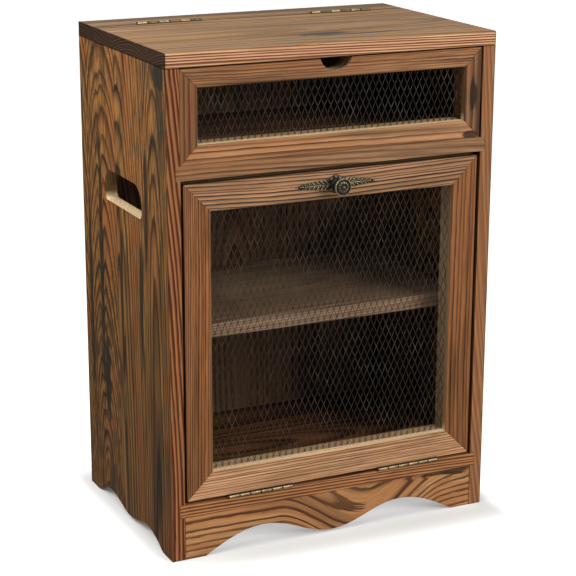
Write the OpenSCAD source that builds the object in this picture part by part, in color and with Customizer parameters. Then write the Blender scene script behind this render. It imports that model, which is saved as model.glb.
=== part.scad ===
// Tilt-out vegetable bin cabinet.
// Millimetres, +Z up. The origin is on the ground, in the middle of the object's outline:
// X runs to the right across the front, and the front faces -Y.

/* [Cabinet] */
// Width across the two sides
cab_w = 400; // [340:5:460]
// Depth from the front edge of the sides to the back
cab_d = 265; // [240:5:320]
// Height to the top of the lid
cab_h = 570; // [520:5:660]
// Thickness of the boards
board = 16; // [14:1:18]
// Depth of the grooves that house the boards in the sides
housing = 6; // [4:1:8]
// Thickness of the back panel
back_t = 6; // [4:1:8]
// Height of the floor board's underside, the room for the apron
apron_h = 50; // [44:1:64]
// Clear height of the top bin, divider to lid
bin_h = 104; // [92:1:130]
// Height of the shelf's top over the floor board
shelf_rise = 192; // [150:2:230]
// Distance of the shelf's front edge behind the front
shelf_back = 42; // [36:1:60]

/* [Scalloped feet] */
// Flat foot at each end of the front apron
apron_foot = 24; // [16:1:36]
// Height of the two arches in the apron
apron_arch = 25.5; // [14:0.5:32]
// Distance from an apron foot to the top of its arch
apron_arch_run = 72; // [56:1:80]
// Height of the apron's middle lobe above the ground
apron_lobe = 3; // [2:0.5:10]
// Flat foot at each end of a side
side_foot = 29; // [22:1:40]
// Height of the two arches in a side
side_arch = 15; // [10:0.5:24]
// Distance from a side foot to the top of its arch
side_arch_run = 45; // [34:1:52]
// Height of a side's middle lobe above the ground
side_lobe = 5; // [3:0.5:9]

/* [Handle slots] */
// Length of the hand slot in each side
slot_l = 116; // [96:1:140]
// Height of the hand slot
slot_h = 37; // [34:1:42]
// Radius of the slot's upper corners
slot_top_r = 23; // [8:1:25]
// Radius of the slot's lower corners
slot_low_r = 8; // [2:1:8]
// Height of the middle of the slot above the ground
slot_z = 395; // [340:1:420]

/* [Lid] */
// Depth of the fixed strip behind the lid
strip_d = 50; // [40:1:64]
// Working gap under the lid
lid_gap = 0.4; // [0.3:0.1:1]
// Rounding of the lid's top front edge
lid_round = 2; // [1:0.5:4]

/* [Face frames and mesh] */
// Thickness of the stained face frames
face_t = 8; // [6:1:10]
// Thickness of the raw frames that clamp the mesh
backing_t = 16; // [12:1:18]
// Width of the window's frame members
window_rail = 21; // [18:1:26]
// Width of the door's frame members
door_rail = 32; // [28:1:40]
// Bevel on the inner front edge of the face frames
face_bevel = 1.5; // [0.5:0.5:3]
// Gap between the window frame and the underside of the lid
window_gap = 1.5; // [1:0.1:3]
// Distance of the window's face behind the front edges
window_back = 2; // [1:0.5:4]
// Distance of the door's face behind the front edges
door_back = 1; // [0.5:0.5:3]
// Gap at each side of the door
door_side_gap = 3; // [2:0.5:4]
// Gap above the door
door_top_gap = 4.5; // [3.5:0.5:7]
// Thickness of the mesh sheet
mesh_t = 1; // [0.8:0.1:1.5]
// Width of the mesh that the frames clamp
mesh_lap = 6; // [5:0.5:9]
// Width of one opening of the mesh, middle to middle
mesh_w = 18; // [16:1:26]
// Height of one opening of the mesh, middle to middle
mesh_h = 40; // [36:1:56]
// Width of the mesh's strands
mesh_strand = 1.8; // [1.2:0.2:3]
// Height of the upright bond between two openings
mesh_bond = 9; // [5:1:12]

/* [Finger notch] */
// Width of the notch through the window's top rail
notch_w = 38; // [30:1:46]
// Depth of the notch
notch_deep = 14; // [8:0.5:14]

/* [Hinges] */
// Length of each hinge
hinge_l = 80; // [60:2:90]
// Knuckles along each hinge
knuckles = 6; // [5:1:8]
// Radius of the knuckles
knuckle_r = 2.3; // [2.2:0.1:2.8]
// Radius of the hinge pin
pin_r = 0.9; // [0.8:0.05:1.1]
// Running clearance around the pin
pin_play = 0.05; // [0.03:0.01:0.08]
// Thickness of the leaves
leaf_t = 0.9; // [0.8:0.1:1.1]
// Gap between the two closed leaves
leaf_gap = 0.6; // [0.4:0.1:0.8]
// Depth of the leaves behind the pin
leaf_d = 13; // [11:0.5:13.5]
// Distance of each door hinge's middle from the end of the door
door_hinge_in = 86; // [62:1:100]
// Distance of each lid hinge's middle from the end of the lid
lid_hinge_in = 89; // [62:1:120]
// Sideways offset of all hinges, as they were screwed on
hinge_shift = 3; // [-5:1:5]

/* [Knob and catch] */
// Diameter of the knob's face
knob_d = 20; // [18:1:26]
// Reach of the knob in front of the cabinet
knob_reach = 21; // [18:1:28]
// Length of the pierced plate behind the knob
plate_l = 99; // [90:1:120]
// Thickness of the pierced plate
plate_t = 1.4; // [1:0.1:2]
// Distance of the magnetic catch to the right of the knob
catch_x = 70; // [55:1:100]
// Width of the magnetic catch
catch_w = 42; // [34:1:50]

/* [Hidden] */
$fn = 48;

eps = 0.01;

// Planes of the carcass
front_y = (knob_reach - cab_d) / 2;
back_y = front_y + cab_d;
in_x = cab_w / 2 - board;
house_x = in_x + housing;
side_top = cab_h - board;
floor_top = apron_h + board;
divider_top = side_top - bin_h;
divider_z = divider_top - board;
shelf_top = floor_top + shelf_rise;
shelf_y = front_y + shelf_back;
inside_back = back_y - back_t;
strip_y = back_y - strip_d;

// Hinge sizes that follow from the leaves
joint_gap = 2 * leaf_t + leaf_gap;
relief_r = knuckle_r + 0.4;
door_axis = [front_y - 0.8, floor_top + joint_gap / 2];
lid_axis = [strip_y - joint_gap / 2, cab_h + 0.6];
lid_back = strip_y - joint_gap;
door_hinge_x = in_x - door_side_gap - door_hinge_in;
lid_hinge_x = cab_w / 2 - lid_hinge_in;
door_hinge_places = [hinge_shift - door_hinge_x, hinge_shift + door_hinge_x];
lid_hinge_places = [hinge_shift - lid_hinge_x, hinge_shift + lid_hinge_x];
hinge_screw_xs = [-0.36 * hinge_l, 0, 0.36 * hinge_l];
hinge_screw_y = (relief_r + leaf_d) / 2;

// Outlines of the two face frames as [left, right, bottom, top, width of the members]
window_fit = 0.3;
window = [-in_x + window_fit, in_x - window_fit, divider_top, side_top - window_gap, window_rail];
door = [-in_x + door_side_gap, in_x - door_side_gap, floor_top + joint_gap,
    divider_z - door_top_gap, door_rail];
window_face_y = front_y + window_back;
door_face_y = front_y + door_back;
door_inner_y = door_face_y + face_t + backing_t;

// Screws, dowels and pins
screw_r = 1.1;
screw_head_r = 2.3;
screw_l = 11;
fastener_play = 0.05;
dowel_r = 3;
dowel_l = 20;
strip_dowel_ys = [strip_y + strip_d / 4, back_y - strip_d / 4];
apron_dowel_zs = [0.76 * apron_h];

// Knob and plate
knob_z = door[3] - door_rail / 2;
plate_front_y = door_face_y - plate_t;
knob_len = knob_reach + door_back - plate_t;
knob_screw_r = 2;
knob_screw_grip = 9;
lobes = 5;
plate_hub_r = 0.11 * plate_l;
plate_tip_r = 0.022 * plate_l;
plate_rib = 0.026 * plate_l;
plate_pin_x = 0.455 * plate_l;
plate_pin_r = 0.6;

// Magnetic catch under the divider, and its strike on the door
catch_h = 14;
catch_d = 13;
strike_t = 1;
catch_gap = 0.4;
catch_y = door_inner_y + strike_t + catch_gap;
catch_mid_y = catch_y + catch_d / 2;
catch_screw_l = 10;
ear_t = 2;
magnet_room = [0.48 * catch_w, 4, 6];
magnet_at = [catch_x - magnet_room[0] / 2, catch_y, divider_z - catch_h + 2.5];
strike_w = 30;
strike_h = 20;

// A box between two corners
module block(lo, hi) {
    translate(lo) cube(hi - lo);
}

// A round bar along X, Y or Z from a point
module bar_x(at, r, l) {
    translate(at) rotate([0, 90, 0]) cylinder(r = r, h = l);
}
module bar_y(at, r, l) {
    translate(at) rotate([-90, 0, 0]) cylinder(r = r, h = l);
}

// Height of the scalloped edge at distance s from the foot: a quarter wave up to the arch,
// then half a wave down to the middle lobe
function scallop(s, run, arch, lobe, half) =
    s < run ? arch * sin(90 * s / run)
            : lobe + (arch - lobe) * (1 + cos(180 * (s - run) / (half - run))) / 2;

// Outline of a board with a scalloped lower edge, from 0 to l, h high
module scalloped_board(l, h, foot, run, arch, lobe) {
    half = l / 2 - foot;
    steps = 16;
    rise = [for (i = [0 : steps]) let (s = half * i / steps)
        [foot + s, scallop(s, run, arch, lobe, half)]];
    fall = [for (i = [1 : steps]) [l - rise[steps - i][0], rise[steps - i][1]]];
    polygon(concat([[0, 0]], rise, fall, [[l, 0], [l, h], [0, h]]));
}

// ---- Carcass ----

// Hole through a side for the hand: flat below, with wide upper corners
module hand_slot() {
    through = board + 2 * eps;
    upper = [slot_l / 2 - slot_top_r, slot_h / 2 - slot_top_r];
    lower = [slot_l / 2 - slot_low_r, slot_low_r - slot_h / 2];
    translate([-eps, (front_y + back_y) / 2, slot_z]) {
        block([0, -upper[0], lower[1]], [through, upper[0], slot_h / 2]);
        block([0, -slot_l / 2, lower[1]], [through, slot_l / 2, upper[1]]);
        block([0, -lower[0], -slot_h / 2], [through, lower[0], lower[1] + eps]);
        for (end = [-1, 1]) {
            bar_x([0, end * lower[0], lower[1]], slot_low_r, through);
            intersection() {
                bar_x([0, end * upper[0], upper[1]], slot_top_r, through);
                block([0, -slot_l / 2, upper[1]], [through, slot_l / 2, slot_h / 2]);
            }
        }
    }
}

// One side, standing with its inner face at x = board
module side_board() {
    groove_x = board - housing;
    difference() {
        translate([0, front_y, 0]) rotate([90, 0, 90]) linear_extrude(board)
            scalloped_board(cab_d, side_top, side_foot, side_arch_run, side_arch, side_lobe);
        hand_slot();
        for (z = [apron_h, divider_z])
            block([groove_x, front_y - 1, z], [board + 1, back_y + 1, z + board]);
        block([groove_x, shelf_y, shelf_top - board], [board + 1, back_y + 1, shelf_top]);
        block([groove_x, inside_back, apron_h], [board + 1, back_y + 1, side_top + 1]);
        for (y = strip_dowel_ys) translate([board / 2, y, side_top - dowel_l / 2])
            cylinder(r = dowel_r + fastener_play, h = dowel_l);
        for (z = apron_dowel_zs)
            bar_x([board - dowel_l / 2, front_y + board / 2, z], dowel_r + fastener_play, dowel_l);
    }
}

module left_side() {
    color("#6f4e33") translate([-cab_w / 2, 0, 0]) side_board();
}
module right_side() {
    color("#6f4e33") mirror([1, 0, 0]) translate([-cab_w / 2, 0, 0]) side_board();
}

module floor_board() {
    color("#a0724c") difference() {
        block([-house_x, front_y, apron_h], [house_x, inside_back, floor_top]);
        at_door_hinges() hinge_relief();
        at_door_hinges() leaf_pilots(0);
    }
}

module divider_board() {
    color("#a0724c") difference() {
        block([-house_x, front_y, divider_z], [house_x, inside_back, divider_top]);
        at_catch_screws() pilot(catch_screw_l);
    }
}

module inner_shelf() {
    color("#a5825c") block([-house_x, shelf_y, shelf_top - board], [house_x, inside_back, shelf_top]);
}

module back_panel() {
    color("#8f6f4e") block([-house_x, inside_back, apron_h], [house_x, back_y, side_top]);
}

// Fixed strip that the lid is hinged to
module back_strip() {
    color("#8d6c4c") difference() {
        block([-cab_w / 2, strip_y, side_top], [cab_w / 2, back_y, cab_h]);
        at_lid_hinges() hinge_relief();
        at_lid_hinges() leaf_pilots(0);
        for (s = [-1, 1]) for (y = strip_dowel_ys)
            translate([s * (cab_w - board) / 2, y, side_top - dowel_l / 2])
                cylinder(r = dowel_r + fastener_play, h = dowel_l);
    }
}

module front_apron() {
    color("#a8764c") difference() {
        translate([-in_x, front_y + board, 0]) rotate([90, 0, 0]) linear_extrude(board)
            scalloped_board(2 * in_x, apron_h, apron_foot, apron_arch_run, apron_arch, apron_lobe);
        for (s = [-1, 1]) for (z = apron_dowel_zs)
            bar_x([s * in_x - dowel_l / 2, front_y + board / 2, z], dowel_r + fastener_play, dowel_l);
    }
}

module strip_dowels() {
    color("#d9bd8e") for (s = [-1, 1]) for (y = strip_dowel_ys)
        translate([s * (cab_w - board) / 2, y, side_top - dowel_l / 2 + 0.5])
            cylinder(r = dowel_r, h = dowel_l - 1);
}

module apron_dowels() {
    color("#d9bd8e") for (s = [-1, 1]) for (z = apron_dowel_zs)
        bar_x([s * in_x - dowel_l / 2 + 0.5, front_y + board / 2, z], dowel_r, dowel_l - 1);
}

// ---- Face frames, mesh and backing ----
// A frame is [left, right, bottom, top, width of the members]; its members lie in the XZ plane.

function frame_w(f) = f[1] - f[0];
function frame_h(f) = f[3] - f[2];
function frame_mid(f) = [(f[0] + f[1]) / 2, 0, (f[2] + f[3]) / 2];

// Mitred member l long and w wide: outer edge on z = 0, face on y = 0
module mitred_member(l, w) {
    difference() {
        translate([0, face_t, 0]) rotate([90, 0, 0]) linear_extrude(face_t)
            polygon([[-l / 2, 0], [l / 2, 0], [l / 2 - w, w], [w - l / 2, w]]);
        translate([-l / 2, 0, 0]) rotate([90, 0, 90]) linear_extrude(l)
            polygon([[-1, w + 1], [-1, w - face_bevel - 1], [face_bevel + 1, w + 1]]);
    }
}

// Turn a member from the bottom of frame f to another edge: 0 bottom, 1 right, 2 top, 3 left
module on_edge(f, edge, face_y) {
    reach = edge % 2 == 0 ? frame_h(f) : frame_w(f);
    translate(frame_mid(f) + [0, face_y, 0]) rotate([0, -90 * edge, 0]) translate([0, 0, -reach / 2])
        children();
}
module face_member(f, edge, face_y) {
    on_edge(f, edge, face_y) mitred_member(edge % 2 == 0 ? frame_w(f) : frame_h(f), f[4]);
}

// Space of the clamped mesh sheet, grown by some clearance
module mesh_room(f, face_y, grow) {
    reach = f[4] - mesh_lap - grow;
    block([f[0] + reach, face_y + face_t - (grow > 0 ? 1 : 0), f[2] + reach],
        [f[1] - reach, face_y + face_t + mesh_t, f[3] - reach]);
}

// Backing member of frame f: the uprights run full height and the rails fit between them
module backing_member(f, edge, face_y) {
    left = edge == 3 ? f[0] : edge == 1 ? f[1] - f[4] : f[0] + f[4];
    right = edge == 1 ? f[1] : edge == 3 ? f[0] + f[4] : f[1] - f[4];
    low = edge == 2 ? f[3] - f[4] : f[2];
    high = edge == 0 ? f[2] + f[4] : f[3];
    difference() {
        block([left, face_y + face_t, low], [right, face_y + face_t + backing_t, high]);
        mesh_room(f, face_y, 0.5);
    }
}

// One opening of the expanded mesh: a lozenge with upright sides, in the XZ plane
module mesh_opening() {
    w = (mesh_w - mesh_strand) / 2;
    h = (mesh_h - mesh_bond) / 2;
    polygon([[0, -h], [w, -mesh_bond / 3], [w, mesh_bond / 3], [0, h], [-w, mesh_bond / 3], [-w, -mesh_bond / 3]]);
}

// Expanded mesh with a plain hem under the frame, in rows offset by half an opening
module mesh_sheet(f, face_y) {
    hem = f[4] - 1.5;
    cols = ceil(frame_w(f) / mesh_w / 2);
    rows = ceil(frame_h(f) / mesh_h / 2);
    mid = frame_mid(f);
    difference() {
        mesh_room(f, face_y, 0);
        translate([mid[0], face_y + face_t + mesh_t + 1, mid[2]]) rotate([90, 0, 0])
            linear_extrude(mesh_t + 2) intersection() {
                square([frame_w(f) - 2 * hem, frame_h(f) - 2 * hem], center = true);
                for (i = [-cols : cols]) for (j = [-rows : rows]) for (half = [0, 0.5])
                    translate([(i + half) * mesh_w, (j + half) * mesh_h]) mesh_opening();
            }
    }
}

// Round notch for the fingers, straight through the rail and the backing behind it
module finger_notch() {
    deep = min(notch_deep, window_rail - mesh_lap - 0.8);
    notch_r = (notch_w * notch_w / 4 + deep * deep) / (2 * deep);
    bar_y([0, window_face_y - 1, window[3] - deep + notch_r], notch_r, face_t + backing_t + 2);
}

module window_top_rail() {
    color("#8f6241") difference() {
        face_member(window, 2, window_face_y);
        finger_notch();
    }
}
module window_bottom_rail() {
    color("#8f6241") face_member(window, 0, window_face_y);
}
module window_left_stile() {
    color("#8f6241") face_member(window, 3, window_face_y);
}
module window_right_stile() {
    color("#8f6241") face_member(window, 1, window_face_y);
}
module window_mesh() {
    color("#45413d") mesh_sheet(window, window_face_y);
}
module window_backing_top() {
    color("#cdb489") difference() {
        backing_member(window, 2, window_face_y);
        finger_notch();
    }
}
module window_backing_bottom() {
    color("#cdb489") backing_member(window, 0, window_face_y);
}
module window_backing_left() {
    color("#cdb489") backing_member(window, 3, window_face_y);
}
module window_backing_right() {
    color("#cdb489") backing_member(window, 1, window_face_y);
}

module door_top_rail() {
    color("#a8734a") difference() {
        face_member(door, 2, door_face_y);
        knob_hole();
        plate_pin_holes();
    }
}
module door_bottom_rail() {
    color("#a8734a") difference() {
        face_member(door, 0, door_face_y);
        at_door_hinges() hinge_relief();
        at_door_hinges() leaf_pilots(1);
    }
}
module door_left_stile() {
    color("#a8734a") face_member(door, 3, door_face_y);
}
module door_right_stile() {
    color("#a8734a") face_member(door, 1, door_face_y);
}
module door_mesh() {
    color("#45413d") mesh_sheet(door, door_face_y);
}
module door_backing_top() {
    color("#cdb489") difference() {
        backing_member(door, 2, door_face_y);
        knob_hole();
        at_strike_screw() pilot(catch_screw_l);
    }
}
module door_backing_bottom() {
    color("#cdb489") difference() {
        backing_member(door, 0, door_face_y);
        at_door_hinges() leaf_pilots(1);
    }
}
module door_backing_left() {
    color("#cdb489") backing_member(door, 3, door_face_y);
}
module door_backing_right() {
    color("#cdb489") backing_member(door, 1, door_face_y);
}

// ---- Lid ----

module lid_board() {
    color("#93714f") difference() {
        translate([-cab_w / 2, 0, 0]) rotate([90, 0, 90]) linear_extrude(cab_w) difference() {
            translate([front_y, side_top + lid_gap]) square([lid_back - front_y, board - lid_gap]);
            translate([front_y, cab_h - lid_round]) difference() {
                translate([-1, 0]) square([lid_round + 1, lid_round + 1]);
                translate([lid_round, 0]) circle(lid_round);
            }
        }
        at_lid_hinges() hinge_relief();
        at_lid_hinges() leaf_pilots(1);
    }
}

// ---- Hinges ----
// In its own frame a hinge's pin lies on X. Its closed leaves run back towards +Y: leaf 0,
// which is fixed, lies below the pin and leaf 1, which swings, above it.

module at_door_hinges() {
    for (x = door_hinge_places) translate([x, door_axis[0], door_axis[1]]) children();
}
module at_lid_hinges() {
    for (x = lid_hinge_places) translate([x, lid_axis[0], lid_axis[1]]) in_lid_joint() children();
}
// Stands a hinge on end in the joint between the strip and the lid
module in_lid_joint() {
    rotate([-90, 0, 0]) mirror([0, 0, 1]) children();
}

// Room for the knuckles in the edges of the boards
module hinge_relief() {
    bar_x([-hinge_l / 2 - 1, 0, 0], relief_r, hinge_l + 2);
}

module at_leaf_screws(leaf) {
    for (x = hinge_screw_xs) translate([x, hinge_screw_y, 0]) mirror([0, 0, 1 - leaf])
        translate([0, 0, leaf_gap / 2]) children();
}
module leaf_pilots(leaf) {
    at_leaf_screws(leaf) pilot(screw_l);
}

module hinge_leaf(leaf) {
    knuckle_l = hinge_l / knuckles;
    slit = 0.15;
    difference() {
        mirror([0, 0, 1 - leaf]) union() {
            block([-hinge_l / 2, relief_r, leaf_gap / 2], [hinge_l / 2, leaf_d, leaf_gap / 2 + leaf_t]);
            for (k = [leaf : 2 : knuckles - 1]) {
                x = k * knuckle_l - hinge_l / 2;
                bar_x([x + slit, 0, 0], knuckle_r, knuckle_l - 2 * slit);
                block([x + slit, 0, leaf_gap / 2],
                    [x + knuckle_l - slit, relief_r + 1, leaf_gap / 2 + leaf_t]);
            }
        }
        bar_x([-hinge_l / 2 - 1, 0, 0], pin_r + pin_play, hinge_l + 2);
        at_leaf_screws(leaf) countersink(leaf_t);
    }
}

module hinge_pin() {
    bar_x([-hinge_l / 2 - 0.6, 0, 0], pin_r, hinge_l + 1.2);
}

// Countersunk screw with its head's face at the origin, pointing along +Z
module wood_screw(l) {
    cylinder(r1 = screw_head_r, r2 = screw_r, h = leaf_t);
    translate([0, 0, leaf_t]) cylinder(r = screw_r, h = l - leaf_t - 2);
    translate([0, 0, l - 2]) cylinder(r1 = screw_r, r2 = 0.2, h = 1.6);
}
module pilot(l) {
    cylinder(r = screw_r + fastener_play, h = l);
}

module lid_hinge_left_strip_leaf() {
    color("#c8b678") lid_hinge(0) hinge_leaf(0);
}
module lid_hinge_left_lid_leaf() {
    color("#c8b678") lid_hinge(0) hinge_leaf(1);
}
module lid_hinge_left_pin() {
    color("#8e8468") lid_hinge(0) hinge_pin();
}
module lid_hinge_right_strip_leaf() {
    color("#c8b678") lid_hinge(1) hinge_leaf(0);
}
module lid_hinge_right_lid_leaf() {
    color("#c8b678") lid_hinge(1) hinge_leaf(1);
}
module lid_hinge_right_pin() {
    color("#8e8468") lid_hinge(1) hinge_pin();
}
module door_hinge_left_floor_leaf() {
    color("#c8b678") door_hinge(0) hinge_leaf(0);
}
module door_hinge_left_door_leaf() {
    color("#c8b678") door_hinge(0) hinge_leaf(1);
}
module door_hinge_left_pin() {
    color("#8e8468") door_hinge(0) hinge_pin();
}
module door_hinge_right_floor_leaf() {
    color("#c8b678") door_hinge(1) hinge_leaf(0);
}
module door_hinge_right_door_leaf() {
    color("#c8b678") door_hinge(1) hinge_leaf(1);
}
module door_hinge_right_pin() {
    color("#8e8468") door_hinge(1) hinge_pin();
}
module lid_hinge(n) {
    translate([lid_hinge_places[n], lid_axis[0], lid_axis[1]]) in_lid_joint() children();
}
module door_hinge(n) {
    translate([door_hinge_places[n], door_axis[0], door_axis[1]]) children();
}

module lid_hinge_strip_screws() {
    color("#b9a86c") at_lid_hinges() at_leaf_screws(0) wood_screw(screw_l);
}
module lid_hinge_lid_screws() {
    color("#b9a86c") at_lid_hinges() at_leaf_screws(1) wood_screw(screw_l);
}
module door_hinge_floor_screws() {
    color("#b9a86c") at_door_hinges() at_leaf_screws(0) wood_screw(screw_l);
}
module door_hinge_door_screws() {
    color("#b9a86c") at_door_hinges() at_leaf_screws(1) wood_screw(screw_l);
}

// ---- Knob ----
// In its own frame the knob's axis is +Z, away from the door.

module on_knob_axis() {
    translate([0, plate_front_y, knob_z]) rotate([90, 0, 0]) children();
}

// Clearance hole for the knob's screw, from the front of the plate to inside the door
module knob_hole() {
    bar_y([0, plate_front_y - 1, knob_z], knob_screw_r + 0.1, door_inner_y - plate_front_y + 2);
}

// Turned knob: a wide foot, a narrow neck, and a face with rings and a raised middle
module knob() {
    r = knob_d / 2;
    face = knob_len;
    color("#6b665c") on_knob_axis() difference() {
        rotate_extrude() polygon([
            [0, 0], [0.8 * r, 0], [0.8 * r, 1.6], [0.62 * r, 2.6], [0.42 * r, 4.5], [0.4 * r, face - 12],
            [0.55 * r, face - 9], [0.85 * r, face - 6.5], [r, face - 4], [r, face - 2.4],
            [0.9 * r, face - 1.2], [0.8 * r, face - 1.2], [0.74 * r, face - 2], [0.62 * r, face - 2],
            [0.56 * r, face - 0.8], [0.44 * r, face - 0.8], [0.38 * r, face - 1.6], [0.28 * r, face - 1.6],
            [0.2 * r, face - 0.3], [0, face]]);
        translate([0, 0, -eps]) cylinder(r = knob_screw_r + fastener_play, h = knob_screw_grip);
    }
}

// Round-headed screw from inside the door into the knob
module knob_screw() {
    head_h = 2;
    l = door_inner_y - plate_front_y + knob_screw_grip - 1;
    color("#b9a86c") {
        bar_y([0, door_inner_y - l, knob_z], knob_screw_r, l);
        bar_y([0, door_inner_y, knob_z], 2 * knob_screw_r, head_h);
    }
}

// Pierced plate: a row of lobes that shrink towards two tips, with scrolls pierced between them
function lobe_x(i) = plate_l * (0.16 + 0.079 * i);
function lobe_y(i) = plate_l * (0.036 - 0.0085 * i);
function lobe_r(i) = plate_l * (0.066 - 0.0115 * i);
module plate_half() {
    for (i = [0 : lobes - 1]) for (up = [-1, 1])
        translate([lobe_x(i), up * lobe_y(i), 0]) cylinder(r = lobe_r(i) * 0.72, h = plate_t);
    translate([plate_l / 2 - plate_tip_r, 0, 0]) cylinder(r = plate_tip_r, h = plate_t);
    block([0, -plate_rib / 2, 0], [plate_l / 2 - plate_tip_r, plate_rib / 2, plate_t]);
}
module plate_piercings() {
    for (i = [0 : lobes - 2]) for (up = [-1, 1])
        translate([lobe_x(i), up * lobe_y(i), -1]) cylinder(r = lobe_r(i) * 0.3, h = plate_t + 2);
    for (i = [0 : lobes - 3])
        translate([(lobe_x(i) + lobe_x(i + 1)) / 2, 0, -1]) cylinder(r = plate_rib * 0.3, h = plate_t + 2);
}
module knob_plate() {
    color("#7b7358") translate([0, door_face_y, knob_z]) rotate([90, 0, 0]) difference() {
        union() {
            cylinder(r = plate_hub_r, h = plate_t);
            for (turn = [0, 180]) rotate([0, 0, turn]) plate_half();
        }
        for (turn = [0, 180]) rotate([0, 0, turn]) plate_piercings();
        translate([0, 0, -1]) cylinder(r = knob_screw_r + 0.1, h = plate_t + 2);
        for (s = [-1, 1]) translate([s * plate_pin_x, 0, -1])
            cylinder(r = plate_pin_r + fastener_play, h = plate_t + 2);
    }
}
module plate_pin_holes() {
    for (s = [-1, 1]) bar_y([s * plate_pin_x, door_face_y - 1, knob_z], plate_pin_r + fastener_play, 7);
}
module knob_plate_pins() {
    color("#8a8168") for (s = [-1, 1]) {
        bar_y([s * plate_pin_x, plate_front_y, knob_z], plate_pin_r, 6);
        translate([s * plate_pin_x, plate_front_y, knob_z]) rotate([90, 0, 0]) intersection() {
            translate([0, 0, -0.6]) sphere(r = 1.5);
            cylinder(r = 2, h = 2);
        }
    }
}

// ---- Magnetic catch ----

module at_catch_screws() {
    for (s = [-1, 1]) translate([catch_x + s * (catch_w / 2 - 4), catch_mid_y, divider_z - ear_t]) children();
}
module at_strike_screw() {
    translate([catch_x, door_inner_y + strike_t, door[3] - strike_h + 5]) rotate([90, 0, 0]) children();
}
module countersink(t) {
    translate([0, 0, -eps]) cylinder(r1 = screw_head_r + 0.1, r2 = screw_r + 0.1, h = t + 2 * eps);
}

// Housing with two ears and a pocket in front for the magnet
module catch_housing() {
    half_body = catch_w / 2 - 8;
    color("#e6e1d6") difference() {
        union() {
            block([catch_x - half_body, catch_y, divider_z - catch_h],
                [catch_x + half_body, catch_y + catch_d, divider_z]);
            block([catch_x - catch_w / 2 + 4, catch_mid_y - 4, divider_z - ear_t],
                [catch_x + catch_w / 2 - 4, catch_mid_y + 4, divider_z]);
            at_catch_screws() cylinder(r = 4, h = ear_t);
        }
        translate(magnet_at - [0.1, 1, 0.1]) cube(magnet_room + [0.2, 1.1, 0.2]);
        at_catch_screws() countersink(ear_t);
    }
}
module catch_magnet() {
    color("#4a4a4c") translate(magnet_at) cube(magnet_room);
}
module catch_screws() {
    color("#b8b8b4") at_catch_screws() wood_screw(catch_screw_l);
}

// Steel strike, screwed to the inside of the door
module strike_plate() {
    color("#b8b8b4") difference() {
        block([catch_x - strike_w / 2, door_inner_y, door[3] - strike_h],
            [catch_x + strike_w / 2, door_inner_y + strike_t, door[3] - 0.6]);
        at_strike_screw() countersink(strike_t);
    }
}
module strike_screw() {
    color("#b8b8b4") at_strike_screw() wood_screw(catch_screw_l);
}

left_side();
right_side();
floor_board();
divider_board();
inner_shelf();
back_panel();
back_strip();
front_apron();
strip_dowels();
apron_dowels();
window_top_rail();
window_bottom_rail();
window_left_stile();
window_right_stile();
window_mesh();
window_backing_top();
window_backing_bottom();
window_backing_left();
window_backing_right();
door_top_rail();
door_bottom_rail();
door_left_stile();
door_right_stile();
door_mesh();
door_backing_top();
door_backing_bottom();
door_backing_left();
door_backing_right();
lid_board();
lid_hinge_left_strip_leaf();
lid_hinge_left_lid_leaf();
lid_hinge_left_pin();
lid_hinge_right_strip_leaf();
lid_hinge_right_lid_leaf();
lid_hinge_right_pin();
door_hinge_left_floor_leaf();
door_hinge_left_door_leaf();
door_hinge_left_pin();
door_hinge_right_floor_leaf();
door_hinge_right_door_leaf();
door_hinge_right_pin();
lid_hinge_strip_screws();
lid_hinge_lid_screws();
door_hinge_floor_screws();
door_hinge_door_screws();
knob();
knob_plate();
knob_plate_pins();
knob_screw();
catch_housing();
catch_magnet();
catch_screws();
strike_plate();
strike_screw();
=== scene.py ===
# %% [markdown]
# A small free-standing kitchen cabinet in torched and brushed pine: a shallow bin under a lid on top, and
# a door below it that tilts out. The CAD part gives every board, frame member, net, hinge and screw at its
# true size. Here each one gets its finish, and the few pieces whose beauty is in very small forms (the
# nets, the knob and its leafy plate) are worked out again.
# All lengths are in metres, as in the part, and mm is one thousandth of a metre.

import math

import bpy
import numpy as np
from mathutils import Matrix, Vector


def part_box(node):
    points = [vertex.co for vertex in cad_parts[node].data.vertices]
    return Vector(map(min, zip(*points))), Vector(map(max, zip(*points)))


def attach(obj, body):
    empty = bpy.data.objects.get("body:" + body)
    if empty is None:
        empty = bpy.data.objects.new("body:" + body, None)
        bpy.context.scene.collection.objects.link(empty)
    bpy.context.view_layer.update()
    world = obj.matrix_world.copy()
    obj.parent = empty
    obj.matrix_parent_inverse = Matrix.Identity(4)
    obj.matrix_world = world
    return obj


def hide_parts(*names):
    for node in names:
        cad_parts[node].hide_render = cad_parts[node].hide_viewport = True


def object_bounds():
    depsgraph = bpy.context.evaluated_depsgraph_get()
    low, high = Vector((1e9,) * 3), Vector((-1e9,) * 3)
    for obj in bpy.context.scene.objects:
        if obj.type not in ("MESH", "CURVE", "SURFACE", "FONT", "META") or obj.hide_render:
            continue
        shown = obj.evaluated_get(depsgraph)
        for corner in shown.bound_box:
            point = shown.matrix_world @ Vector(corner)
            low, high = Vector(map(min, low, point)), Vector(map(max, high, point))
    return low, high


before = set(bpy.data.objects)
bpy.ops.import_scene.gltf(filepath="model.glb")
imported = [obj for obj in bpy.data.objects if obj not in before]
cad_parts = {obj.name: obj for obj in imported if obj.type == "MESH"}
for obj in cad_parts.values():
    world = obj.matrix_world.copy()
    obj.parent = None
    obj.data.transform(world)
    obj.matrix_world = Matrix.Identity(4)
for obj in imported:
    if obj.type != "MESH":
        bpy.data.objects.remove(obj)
cad_low, cad_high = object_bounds()
mm = 0.001
print("part box", [round(x, 4) for x in cad_low], [round(x, 4) for x in cad_high])

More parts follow.
